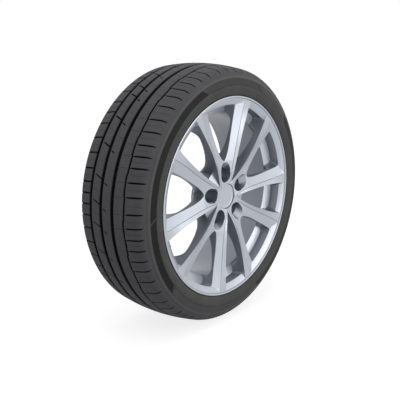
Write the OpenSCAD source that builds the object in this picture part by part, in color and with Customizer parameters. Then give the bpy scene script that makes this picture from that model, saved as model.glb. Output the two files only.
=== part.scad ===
// Road car tyre fitted on a cast alloy wheel with ten spokes in five pairs.
// Millimetres. The axle lies along Y, the outboard face looks toward -Y and Z is up.
// The origin is the centre of the wheel. Sections are drawn as [radius, height], where
// height is measured outboard from the centre plane of the rim.

/* [Tyre] */
// Outer radius at the middle of the tread
tyre_r = 335.3; // [325:0.1:345]
// Half of the section width at its widest point
tyre_half_w = 115; // [112:0.5:120]
// Half of the width of the tread between its shoulders
crown_half_w = 86.5; // [80:0.5:90]
// Radius of the crown across the tread
crown_curve = 487; // [400:1:700]
// Radius of the shoulder
shoulder_r = 22.5; // [18:0.5:25]
// Thickness from the tread surface to the inner lining
tread_t = 16.5; // [13:0.5:19]
// Thickness of the sidewall at its widest point
sidewall_t = 9; // [6:0.5:12]
// Height above the rim flange at which the section is widest
widest_rise = 28.4; // [25:0.2:32]

/* [Tread pattern] */
// Depth of the grooves that run round the tyre
groove_d = 7.5; // [5:0.5:9]
// Width of the three wide grooves
wide_groove_w = 10.5; // [8:0.5:12]
// Width of the narrow outboard groove
narrow_groove_w = 5.5; // [3:0.5:8]
// Height of the narrow outboard groove
groove_out_h = 53; // [50:0.5:56]
// Height of the first wide groove
groove_a_h = 17.5; // [14:0.5:20]
// Height of the second wide groove
groove_b_h = -20; // [-23:0.5:-17]
// Height of the inboard wide groove
groove_c_h = -56; // [-60:0.5:-53]
// Number of cross grooves round each shoulder
shoulder_count = 64; // [40:2:80]
// Number of slanted grooves round each middle rib
rib_count = 32; // [20:1:40]
// Width of the cross grooves
cross_w = 3; // [2:0.25:4]
// Depth of the cross grooves
cross_d = 6; // [4:0.5:7]
// Slant of the cross grooves on the shoulders
shoulder_slant = 5; // [0:1:10]
// Slant of the grooves on the middle ribs
rib_slant = 21; // [10:1:30]

/* [Rim] */
// Radius of the bead seat at the flange
bead_r = 241.3; // [241:0.1:241.6]
// Half of the rim width, flange to flange
rim_half_w = 101.6; // [99:0.1:103]
// Height of the flange above the bead seat
flange_rise = 17.3; // [16.5:0.1:18]
// Thickness of the flange at its edge
flange_t = 6.8; // [6:0.1:7.5]
// Slope of the bead seat
seat_slope = 5; // [4.5:0.25:5.5]
// Radius of the corner between bead seat and flange
seat_corner_r = 5.5; // [4.5:0.25:6.5]
// Distance from the flange to the hump beside the bead seat
seat_w = 20.6; // [19:0.2:21.5]
// Depth of metal under the bead seat
barrel_t = 5.1; // [4.6:0.1:6]
// Depth of the drop centre below the bead seat
well_depth = 18.8; // [17.3:0.1:21]
// Wall thickness of the drop centre
well_t = 5; // [4:0.25:6]
// Width of the outboard ledge, from the flange to the wall of the drop centre
ledge_w = 41.6; // [40:0.2:44]
// Height of the inner side of that wall
well_wall_h = 9; // [8:0.5:12]
// Width of the floor of the drop centre
well_w = 46; // [38:1:50]

/* [Spokes] */
// Number of spoke pairs
pair_count = 5; // [4:1:6]
// Angle of the first pair above the horizontal
pair_phase = 24.7; // [0:0.1:71]
// Depth of the window edge in the outboard ring below the lip
window_drop = 12.4; // [10:0.2:13]
// Radius where the window inside a pair begins
crotch_r = 95.6; // [93:0.2:102]
// Half width of the window inside a pair, halfway out
window_mid_half = 36.1; // [33:0.1:38]
// Half width of the window inside a pair, at the rim
window_rim_half = 57.5; // [54:0.1:59]
// Half distance between the creases of a pair near the cap
crease_hub_half = 20; // [19:0.5:21]
// Half distance between the creases of a pair at the rim
crease_rim_half = 86.9; // [84:0.1:89]
// Half distance between the ridges of a pair near the cap
ridge_hub_half = 23.8; // [23.5:0.1:24.6]
// Half distance between the ridges of a pair at the rim
ridge_rim_half = 119.3; // [116:0.1:122]
// Depth of the face beside the window inside a pair, below the lip
face_drop = 12.6; // [11:0.2:14]
// Depth of the back of the spokes, behind that face
spoke_t = 15.8; // [12:0.2:20]
// Draft of the spoke walls, sideways over depth
wall_draft = 0.12; // [0.05:0.01:0.18]

/* [Hub] */
// Height of the mounting face, which is the wheel's offset
mount_h = 42; // [38:0.5:46]
// Radius of the mounting face
pad_r = 79; // [76:0.5:81]
// Radius of the hub where the open windows begin
hub_r = 82; // [80:0.5:84]
// Depth of the hub around the cap, below the lip
hub_drop = 13.6; // [12.6:0.1:14.4]
// Radius of the centre bore
bore_r = 28.55; // [27:0.05:29]
// Length of the centre bore
bore_len = 16; // [12:0.5:20]
// Pitch circle diameter of the bolts
bolt_pcd = 112; // [110:0.5:114]
// Radius of the bolt holes
bolt_hole_r = 7.25; // [6.5:0.25:7.75]
// Radius of the ball seats under the bolt heads
bolt_seat_r = 13; // [12:0.5:14]
// Radius of the bolt pockets
pocket_r = 18; // [16:0.5:18.5]
// Thickness of metal under the bolt heads
grip_t = 16; // [13:0.5:20]
// Radius of the hollows in the mounting face between the bolts
hollow_r = 12; // [8:0.5:13]
// Depth of those hollows
hollow_d = 28; // [20:1:32]
// Lean of the outer relief of each bolt pocket
pocket_lean = 18; // [12:1:22]
// Radius of the outer relief of each bolt pocket
relief_r = 13.5; // [11:0.5:14.5]

/* [Centre cap] */
// Radius of the centre cap
cap_r = 32.7; // [31.5:0.1:33.2]
// Thickness of the cap's disc
cap_t = 3; // [2:0.25:4]
// Depth of the cap's face below the hub
cap_sink = 0.8; // [0.4:0.1:1.6]
// Depth of the cap's clips behind the disc
clip_depth = 13; // [10:0.5:15]
// Number of clips
clip_count = 6; // [3:1:8]

/* [Valve] */
// Radius of the valve hole
valve_hole_r = 5.65; // [5.5:0.05:5.8]
// Length of the valve stem outside the rim
valve_len = 21; // [19:0.5:24]

/* [Clearances] */
// Gap between the tyre's beads and the rim
bead_gap = 0.3; // [0.2:0.05:0.4]
// Gap round the centre cap
cap_gap = 0.3; // [0.2:0.05:0.5]
// Gap round the valve in its hole
valve_gap = 0.15; // [0.1:0.05:0.2]

/* [Hidden] */
round_fn = 180;
small_fn = 48;
tiny = 0.01;

rubber = [0.17, 0.165, 0.17];
silver = [0.76, 0.77, 0.79];
brass = [0.72, 0.6, 0.35];
black = [0.08, 0.08, 0.08];

flange_r = bead_r + flange_rise;
lip_h = rim_half_w + flange_t;
seat_in_h = rim_half_w - seat_w;
barrel_r = bead_r - barrel_t;
well_r = bead_r - well_depth;
well_in_r = well_r - well_t;
well_top_h = rim_half_w - ledge_w;
well_foot_h = well_top_h - well_wall_h;
well_end_h = well_foot_h - well_w;
window_h = lip_h - window_drop;
face_h = lip_h - face_drop;
hub_h = lip_h - hub_drop;
spoke_back_h = face_h - spoke_t;
pocket_floor_h = mount_h + grip_t;
widest_r = flange_r + widest_rise;
pair_step = 360 / pair_count;

// A point on a cubic curve with four control values or points.
function curve(p, t) =
    pow(1 - t, 3) * p[0] + 3 * t * pow(1 - t, 2) * p[1] + 3 * t * t * (1 - t) * p[2] + pow(t, 3) * p[3];

// Points along a cubic curve.
function curve_points(p, steps) = [for (i = [0:steps]) curve(p, i / steps)];

// Points along an arc.
function arc(centre, r, from, to, steps) =
    [for (i = [0:steps]) let (a = from + (to - from) * i / steps) centre + r * [cos(a), sin(a)]];

// The same section on the other side of the centre plane, in reverse order.
function other_side(points) = [for (i = [len(points) - 1:-1:0]) [points[i][0], -points[i][1]]];

function clamp01(x) = min(1, max(0, x));

// Stands a part drawn with its axle along Z upright, with its outboard face toward -Y.
module upright() rotate([90, 0, 0]) children();

// Tyre section

function crown_r(h) = tyre_r - h * h / (2 * crown_curve);
function seat_r(h) = bead_r - (rim_half_w - h) * tan(seat_slope);

crown_slope = atan(crown_half_w / crown_curve);
shoulder_c = [crown_r(crown_half_w), crown_half_w] - shoulder_r * [cos(crown_slope), sin(crown_slope)];
shoulder_end = shoulder_c + shoulder_r * [cos(80), sin(80)];

// Outer side of the tyre from the shoulder to the edge of the rim flange.
sidewall_out = concat(
    arc(shoulder_c, shoulder_r, crown_slope, 80, 8),
    [for (i = [1:6]) curve([shoulder_end, shoulder_end + [-9, 2],
        [widest_r + 12, tyre_half_w], [widest_r, tyre_half_w]], i / 6)],
    [for (i = [1:6]) curve([[widest_r, tyre_half_w], [widest_r - 11, tyre_half_w],
        [flange_r + 10, lip_h + 3], [flange_r + 3, lip_h + 0.5]], i / 6)]);

// Bead, from the edge of the flange under it to the toe.
bead_out = [
    [flange_r + 1.2, lip_h - 2],
    [flange_r - 0.5, rim_half_w + 1.2],
    [flange_r - 4, rim_half_w - bead_gap],
    [bead_r + seat_corner_r + bead_gap, rim_half_w - bead_gap],
    [seat_r(rim_half_w - seat_corner_r) + bead_gap + 0.8, rim_half_w - seat_corner_r + 2.5],
    [seat_r(rim_half_w - seat_corner_r - 1) + bead_gap, rim_half_w - seat_corner_r - 1],
    [seat_r(seat_in_h + 1.5) + bead_gap, seat_in_h + 1.5],
    [seat_r(seat_in_h + 1.5) + bead_gap + 1.5, seat_in_h + 0.7]];

// Inner lining from the bead toe to the start of the crown.
lining = concat(
    curve_points([[bead_r + 5, seat_in_h + 2.5], [bead_r + 17, seat_in_h + 14],
        [widest_r - 15, tyre_half_w - sidewall_t + 1], [widest_r, tyre_half_w - sidewall_t]], 6),
    [for (i = [1:5]) curve([[widest_r, tyre_half_w - sidewall_t],
        [widest_r + 15, tyre_half_w - sidewall_t],
        [crown_r(crown_half_w) - tread_t - 3, crown_half_w + 4],
        [crown_r(crown_half_w - 12) - tread_t, crown_half_w - 12]], i / 5)]);

groove_list = [[groove_out_h, narrow_groove_w], [groove_a_h, wide_groove_w],
    [groove_b_h, wide_groove_w], [groove_c_h, wide_groove_w]];
groove_taper = 1;

// Outer edge of the crown from outboard to inboard, down and up through each groove.
function rib_points(from, to) =
    [for (i = [0:3]) let (h = from + (to - from) * i / 3) [crown_r(h), h]];
function groove_floor(g) = [
    [crown_r(g[0]) - groove_d, g[0] + g[1] / 2 - groove_taper],
    [crown_r(g[0]) - groove_d, g[0] - g[1] / 2 + groove_taper]];
rib_from = concat([crown_half_w - 1], [for (g = groove_list) g[0] - g[1] / 2]);
rib_to = concat([for (g = groove_list) g[0] + g[1] / 2], [1 - crown_half_w]);
crown = [for (i = [0:len(groove_list)])
    each concat(rib_points(rib_from[i], rib_to[i]),
        i < len(groove_list) ? groove_floor(groove_list[i]) : [])];

crown_lining = [for (i = [-3:3]) let (h = i * 20) [crown_r(h) - tread_t, h]];

// The section is one closed outline: crown, inboard side, lining and outboard side.
inboard_side = [for (p = concat(sidewall_out, bead_out, lining)) [p[0], -p[1]]];
outboard_side = other_side(inboard_side);

module tyre_blank() {
    rotate_extrude($fn = round_fn)
        polygon(concat(crown, inboard_side, crown_lining, outboard_side));
}

// A cutter with the outline given as [radius, height] points, across the tread.
module cross_cut(outline, width, slant, at_h) {
    translate([0, 0, at_h]) rotate([slant, 0, 0]) translate([0, 0, -at_h])
        rotate([90, 0, 0]) linear_extrude(width, center = true) polygon(outline);
}

// Cross groove that starts beside the outer groove and runs off over the shoulder.
module shoulder_cut(side) {
    from_h = side > 0 ? groove_out_h + narrow_groove_w : -groove_c_h + wide_groove_w / 2 + 2;
    over_r = tyre_r + 5;
    outline = [
        [over_r, from_h], [over_r, crown_half_w + shoulder_r],
        [shoulder_c[0] + shoulder_r * sin(38), shoulder_c[1] + shoulder_r * cos(38)],
        [shoulder_c[0] + (shoulder_r - cross_d) * sin(62), shoulder_c[1] + (shoulder_r - cross_d) * cos(62)],
        [crown_r(crown_half_w) - cross_d, crown_half_w - 4],
        [crown_r(from_h) - cross_d, from_h + 6],
        [crown_r(from_h) - cross_d / 3, from_h]];
    cross_cut([for (p = outline) [p[0], side * p[1]]], cross_w, shoulder_slant, side * crown_half_w);
}

// Slanted groove across part of a middle rib.
module rib_cut(from_h, to_h) {
    mid_h = (from_h + to_h) / 2;
    over_r = tyre_r + 5;
    cross_cut([[over_r, from_h], [over_r, to_h],
        [crown_r(to_h) - cross_d, to_h - 1], [crown_r(from_h) - cross_d, from_h + 1]],
        cross_w, -rib_slant, mid_h);
}

module tyre() {
    color(rubber) upright() difference() {
        tyre_blank();
        for (i = [0:shoulder_count - 1]) rotate([0, 0, i * 360 / shoulder_count]) {
            shoulder_cut(1);
            shoulder_cut(-1);
        }
        for (i = [0:rib_count - 1]) rotate([0, 0, i * 360 / rib_count]) {
            rib_cut(groove_b_h - wide_groove_w / 2 - 20, groove_b_h);
            rib_cut(groove_b_h + wide_groove_w / 2 + 6, groove_b_h + wide_groove_w / 2 + 16);
        }
    }
}

// Alloy wheel

flange_half = concat(
    [[flange_r - 5, lip_h - 0.6], [flange_r - 3.6, lip_h + 0.2], [flange_r - 1.4, lip_h],
        [flange_r, lip_h - 1.6]],
    curve_points([[flange_r, lip_h - 3], [flange_r - 0.4, rim_half_w + 1.4],
        [flange_r - 3.6, rim_half_w], [flange_r - 8, rim_half_w]], 4));
seat_half = concat(
    arc([seat_r(rim_half_w - seat_corner_r) + seat_corner_r, rim_half_w - seat_corner_r],
        seat_corner_r, 90, 180, 5),
    [[seat_r(seat_in_h), seat_in_h], [bead_r - 0.7, seat_in_h - 2.5],
        [bead_r - 0.7, seat_in_h - 4.5], [seat_r(seat_in_h) - 0.6, seat_in_h - 7.5]]);

// The wall of the drop centre: lean of its inner side, and height of its outer side at a radius.
wall_lean = atan2(well_wall_h, barrel_r - well_in_r);
function wall_out_h(r) = well_foot_h + (r - well_in_r) * tan(wall_lean) - well_t / cos(wall_lean);
ledge_r = seat_r(seat_in_h) - 0.6;

barrel_out = concat(
    flange_half,
    seat_half,
    [[ledge_r, wall_out_h(ledge_r)], [well_r, wall_out_h(well_r)],
        [well_r, well_end_h], [well_r + 14, well_end_h - 20]],
    other_side(seat_half),
    other_side(flange_half));
// Back of the inboard flange, and the inside of the barrel up to the window edge.
barrel_in = [
    [barrel_r + 9, 3.5 - lip_h], [barrel_r + 1, 5 - rim_half_w], [barrel_r - 2, 20 - rim_half_w],
    [well_r + 9, well_end_h - 24], [well_in_r, well_end_h - 3],
    [well_in_r, well_foot_h], [barrel_r, well_top_h]];
// Front of the outboard ring, a shallow bulge from the window edge to the lip.
ring_front = curve_points([[barrel_r, window_h], [barrel_r + 3.7, window_h + 5.2],
    [flange_r - 12, lip_h - 2.6], [flange_r - 5.4, lip_h - 0.9]], 6);

module barrel() {
    rotate_extrude($fn = round_fn) polygon(concat(barrel_in, ring_front, barrel_out));
}

module hub_blank() {
    rotate_extrude($fn = round_fn) polygon([
        [0, mount_h], [pad_r, mount_h], [hub_r, hub_h - 14], [hub_r, hub_h - 9.5],
        [hub_r - 2, hub_h - 8.2], [41, hub_h], [0, hub_h]]);
}

// Sideways curves of a spoke, by distance y along the middle line of its pair.
spoke_from = 34;
spoke_to = 240;
function along(y) = (y - spoke_from) / (spoke_to - spoke_from);
function crease_x(y) =
    curve([crease_hub_half, crease_hub_half + 6.2, crease_rim_half - 15.3, crease_rim_half], along(y));
function ridge_x(y) =
    curve([ridge_hub_half, ridge_hub_half + 17, ridge_rim_half - 45.1, ridge_rim_half], along(y));
function crease_h(y) = curve([hub_h + 2, hub_h + 9, face_h + 3.7, lip_h - 0.6], along(y));
function ridge_h(y) = curve([hub_h + 1.6, hub_h + 17, lip_h - 2.4, lip_h - 0.5], along(y));

// Half width of the window inside a pair: a parabola at the crotch that opens into a straight flare.
mid_t = (spoke_to - 6 - crotch_r) / 2;
rim_t = 2 * mid_t;
flare = (window_rim_half - window_mid_half * sqrt(2)) / (rim_t - mid_t * sqrt(2));
opening = (window_mid_half - flare * mid_t) / sqrt(mid_t);
function window_x(y) = y <= crotch_r ? 0 : opening * sqrt(y - crotch_r) + flare * (y - crotch_r);

// Back of the spokes, which falls away into the barrel and into the hub.
rim_root = 33;
hub_root = 33;
function back_h(r) = max(mount_h + 4, spoke_back_h
    - (spoke_back_h - well_top_h) * pow(clamp01((r - barrel_r + rim_root) / rim_root), 2)
    - (spoke_back_h - mount_h) * pow(clamp01((pad_r + hub_root - r) / hub_root), 2));

// Section of one spoke at y: window edge, crease, ridge, and the two lower corners.
function spoke_section(y) =
    let (wx = window_x(y), rx = ridge_x(y),
        wb = back_h(norm([wx, y])) + 3, rb = back_h(norm([rx, y])) - 2,
        wf = y < crotch_r ? hub_h + (face_h - hub_h) * (y - spoke_from) / (crotch_r - spoke_from) : face_h)
    [[wx, y, wf], [crease_x(y), y, crease_h(y)], [rx, y, ridge_h(y)],
        [rx + wall_draft * (ridge_h(y) - rb), y, rb],
        [max(0, wx - wall_draft * (wf - wb)), y, wb]];

hub_steps = 5;
arm_steps = 14;
stations = concat(
    [for (i = [0:hub_steps - 1]) spoke_from + (crotch_r - spoke_from) * i / hub_steps],
    [for (i = [0:arm_steps]) crotch_r + (spoke_to - crotch_r) * pow(i / arm_steps, 1.6)]);

// One spoke, lofted through its sections.
module spoke() {
    sides = 5;
    last = (len(stations) - 1) * sides;
    polyhedron(
        points = [for (y = stations) each spoke_section(y)],
        faces = concat(
            [for (k = [1:sides - 2]) [0, k, k + 1]],
            [for (k = [1:sides - 2]) [last, last + k + 1, last + k]],
            [for (i = [0:len(stations) - 2]) for (k = [0:sides - 1])
                let (a = i * sides + k, b = i * sides + (k + 1) % sides)
                each [[a, a + sides, b], [b, a + sides, b + sides]]]));
}

module spoke_pair() {
    spoke();
    mirror([1, 0, 0]) spoke();
}

// Room that the spokes may fill: up to the barrel behind the ring and up to the lip in front.
module spoke_room() {
    rotate_extrude($fn = round_fn) polygon([
        [0, mount_h + 1], [barrel_r + 1.8, mount_h + 1], [barrel_r + 1.8, window_h - 2],
        [flange_r - 5.2, lip_h - 1.8], [flange_r - 5.2, lip_h + 4], [0, lip_h + 4]]);
}

module at_pairs() {
    for (i = [0:pair_count - 1]) rotate([0, 0, pair_phase - 90 + i * pair_step]) children();
}

// Bolt hole, ball seat, pocket for the bolt head and the leaning relief on its outer side.
module bolt_cut() {
    translate([0, bolt_pcd / 2, 0]) {
        translate([0, 0, mount_h - 1]) cylinder(r = bolt_hole_r, h = grip_t + 2, $fn = small_fn);
        translate([0, 0, pocket_floor_h - bolt_seat_r + bolt_hole_r])
            cylinder(r1 = bolt_hole_r, r2 = bolt_seat_r + tiny, h = bolt_seat_r - bolt_hole_r + tiny,
                $fn = small_fn);
        translate([0, 0, pocket_floor_h]) cylinder(r = pocket_r, h = 60, $fn = small_fn);
        translate([0, 0, pocket_floor_h + 2]) rotate([-pocket_lean, 0, 0])
            cylinder(r = relief_r, h = 60, $fn = small_fn);
    }
}

// Hollow in the mounting face between two bolts.
module lightening_cut() {
    rotate([0, 0, pair_step / 2]) translate([0, bolt_pcd / 2 + 2, mount_h - 1])
        cylinder(r = hollow_r, h = hollow_d + 1, $fn = small_fn);
}

clip_in_r = bore_r - 1.55;
clip_out_r = bore_r + 1;
clip_lip_r = clip_out_r + 1.2;
cap_seat_h = hub_h - cap_sink - cap_t;

// Centre bore with the cap's recess, its clip groove and a lead-in at the mounting face.
module centre_cut() {
    rotate_extrude($fn = round_fn) polygon([
        [0, mount_h - 1], [bore_r + 3, mount_h - 1], [bore_r + 3, mount_h], [bore_r, mount_h + 3],
        [bore_r, mount_h + bore_len], [clip_out_r + cap_gap, mount_h + bore_len + 2],
        [clip_out_r + cap_gap, cap_seat_h - clip_depth - 1],
        [clip_lip_r + cap_gap, cap_seat_h - clip_depth], [clip_lip_r + cap_gap, cap_seat_h - clip_depth + 3.5],
        [clip_out_r + cap_gap, cap_seat_h - clip_depth + 5], [clip_out_r + cap_gap, cap_seat_h],
        [cap_r + cap_gap, cap_seat_h], [cap_r + cap_gap, lip_h], [0, lip_h]]);
}

// Valve

// Its foot is in the middle of the wall of the drop centre, behind a window between two pairs.
valve_angle = pair_phase + pair_step / 2 + 2 * pair_step;
valve_r = (well_r + ledge_r) / 2 - well_t * sin(wall_lean);
valve_h = well_foot_h + (valve_r - well_in_r) * tan(wall_lean);

// Puts a part drawn along Z on the wall of the drop centre, pointing outboard and inward.
module at_valve() {
    rotate([0, 0, valve_angle]) translate([valve_r, 0, valve_h])
        rotate([0, -wall_lean, 0]) children();
}

module alloy_wheel() {
    color(silver) upright() difference() {
        union() {
            barrel();
            hub_blank();
            intersection() {
                at_pairs() spoke_pair();
                spoke_room();
            }
        }
        centre_cut();
        at_pairs() {
            bolt_cut();
            lightening_cut();
        }
        at_valve() translate([0, 0, -12]) cylinder(r = valve_hole_r, h = 24, $fn = small_fn);
    }
}

module centre_cap() {
    color(silver) upright() difference() {
        rotate_extrude($fn = round_fn) polygon([
            [0, cap_seat_h], [clip_in_r, cap_seat_h], [clip_in_r, cap_seat_h - clip_depth],
            [clip_lip_r - 0.8, cap_seat_h - clip_depth], [clip_lip_r, cap_seat_h - clip_depth + 1],
            [clip_lip_r, cap_seat_h - clip_depth + 2.5], [clip_out_r, cap_seat_h - clip_depth + 4],
            [clip_out_r, cap_seat_h], [cap_r, cap_seat_h],
            [cap_r, cap_seat_h + cap_t - 0.8], [cap_r - 0.8, cap_seat_h + cap_t], [0, cap_seat_h + cap_t]]);
        for (i = [0:clip_count - 1]) rotate([0, 0, i * 360 / clip_count])
            translate([bore_r - 10, -3, cap_seat_h - clip_depth - 1]) cube([20, 6, clip_depth - 1]);
    }
}

stem_bore_r = 2.2;
stem_tip_r = 3.9;
stem_neck_r = 5.8;
stem_body_r = 7.6;
stem_foot_r = 8.6;
stem_foot_t = 3.4;
stem_tip_len = 8;
cap_wall = 1;

module valve_stem() {
    color(black) upright() at_valve() rotate_extrude($fn = small_fn) polygon([
        [stem_bore_r, -well_t - 0.3 - stem_foot_t], [stem_foot_r - 1.6, -well_t - 0.3 - stem_foot_t],
        [stem_foot_r, 1 - well_t - stem_foot_t], [stem_foot_r, -well_t - 0.3],
        [valve_hole_r - valve_gap, -well_t - 0.3], [valve_hole_r - valve_gap, 0.3],
        [stem_body_r, 0.3], [stem_body_r, 3], [stem_neck_r, valve_len - stem_tip_len],
        [stem_tip_r, valve_len - stem_tip_len], [stem_tip_r, valve_len], [stem_bore_r, valve_len]]);
}

module valve_core() {
    color(brass) upright() at_valve() rotate_extrude($fn = small_fn) polygon([
        [0, valve_len - 19], [1.2, valve_len - 19], [1.4, valve_len - 12],
        [stem_bore_r - valve_gap, valve_len - 11], [stem_bore_r - valve_gap, valve_len - 2],
        [0.8, valve_len - 2], [0.8, valve_len - 0.6], [0, valve_len - 0.6]]);
}

module valve_cap() {
    color(black) upright() at_valve() rotate_extrude($fn = small_fn) polygon([
        [stem_tip_r + valve_gap, valve_len - stem_tip_len + 0.3],
        [stem_tip_r + cap_wall, valve_len - stem_tip_len + 0.3],
        [stem_tip_r + cap_wall, valve_len + 1.6], [stem_tip_r + cap_wall - 0.8, valve_len + 2.4],
        [0, valve_len + 2.4], [0, valve_len + 0.6], [stem_tip_r + valve_gap, valve_len + 0.6]]);
}

tyre();
alloy_wheel();
centre_cap();
valve_stem();
valve_core();
valve_cap();
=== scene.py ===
"""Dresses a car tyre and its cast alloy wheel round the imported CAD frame.

The axle lies along Y, the outboard face looks toward -Y and Z is up. Sizes are in millimetres of
the real wheel. A section is a list of (radius, height) points, where height is measured outboard
from the rim's centre plane, and an angle round the wheel runs from +X toward +Z in degrees.
"""

import logging
import math
from dataclasses import dataclass
from enum import Enum
from typing import Any, Callable, Sequence

import bpy
from mathutils import Matrix, Vector


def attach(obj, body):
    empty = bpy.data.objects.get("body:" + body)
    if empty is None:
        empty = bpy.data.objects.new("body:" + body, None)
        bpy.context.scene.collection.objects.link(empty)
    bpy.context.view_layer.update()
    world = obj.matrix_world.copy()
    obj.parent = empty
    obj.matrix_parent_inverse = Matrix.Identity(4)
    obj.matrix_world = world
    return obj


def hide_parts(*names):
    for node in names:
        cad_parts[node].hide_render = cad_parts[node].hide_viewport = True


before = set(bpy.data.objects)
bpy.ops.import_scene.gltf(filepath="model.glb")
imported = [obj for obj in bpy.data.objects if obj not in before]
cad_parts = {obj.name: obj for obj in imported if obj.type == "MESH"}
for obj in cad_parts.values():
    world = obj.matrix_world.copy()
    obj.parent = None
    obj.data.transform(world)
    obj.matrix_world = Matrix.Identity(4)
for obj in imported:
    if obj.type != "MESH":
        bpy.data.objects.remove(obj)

LOG = logging.getLogger("wheel")
MM = 0.001
HALVINGS = 48
LONGEST_CUT = 0.48

Pair = tuple[float, float]
Section = list[Pair]
GroovePath = list[tuple[float, float, float, float]]
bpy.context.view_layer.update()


class Cut(Enum):
    """What a second solid does to the first."""

    JOIN = "UNION"
    REMOVE = "DIFFERENCE"
    KEEP = "INTERSECT"


@dataclass(frozen=True)
class Corner:
    """A corner of an outline, rounded where it has steps, with extra points on the way to the next."""

    u: float
    v: float
    radius: float = 0.0
    steps: int = 0
    extra: int = 0


def corners_at(*rows: tuple[float, ...]) -> list[Corner]:
    """Makes corners from rows of their values."""
    return [Corner(*row) for row in rows]


def rounded(corners: Sequence[Corner]) -> Section:
    """Turns a closed outline of corners into points, with an arc at each rounded one.

    Args:
        corners: The outline's corners in order.

    Returns:
        Its points; a corner gives one point, or steps + 1 points when it is rounded.
    """
    groups: list[list[Vector]] = []
    for i, corner in enumerate(corners):
        here = Vector((corner.u, corner.v))
        if not corner.steps:
            groups.append([here])
            continue
        last, after = corners[i - 1], corners[(i + 1) % len(corners)]
        back = Vector((last.u, last.v)) - here
        on = Vector((after.u, after.v)) - here
        half = back.angle(on, math.pi) / 2
        longest = LONGEST_CUT * min(back.length, on.length)
        reach = min(corner.radius / max(math.tan(half), 1e-4), longest)
        start, end = here + back.normalized() * reach, here + on.normalized() * reach
        # A quadratic curve through the corner's tangents is close to the arc, and safe when flat.
        ways = [k / corner.steps for k in range(corner.steps + 1)]
        groups.append([start * (1 - t) ** 2 + here * 2 * t * (1 - t) + end * t * t for t in ways])
    points: list[Vector] = []
    for i, (corner, group) in enumerate(zip(corners, groups)):
        after = groups[(i + 1) % len(groups)][0]
        points += group
        points += [group[-1].lerp(after, k / (corner.extra + 1)) for k in range(1, corner.extra + 1)]
    return [(p.x, p.y) for p in points]


def cubic(values: Sequence[float], t: float) -> float:
    """Gives the value of a cubic curve with four control values at t."""
    a, b, c, d = values
    return a * (1 - t) ** 3 + 3 * b * t * (1 - t) ** 2 + 3 * c * t * t * (1 - t) + d * t**3


def solve(function: Callable[[float], float], low: float, high: float) -> float:
    """Finds where a rising function passes zero, by halving.

    Args:
        function: The function.
        low: A place where it is below zero.
        high: A place where it is above zero.

    Returns:
        The place where it is zero.
    """
    for _ in range(HALVINGS):
        middle = (low + high) / 2
        if function(middle) < 0:
            low = middle
        else:
            high = middle
    return (low + high) / 2


def on_wheel(radius: float, angle: float, height: float) -> Vector:
    """Gives the world place of a radius, an angle in degrees and an outboard height."""
    a = math.radians(angle)
    return Vector((radius * math.cos(a), -height, radius * math.sin(a))) * MM


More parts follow.
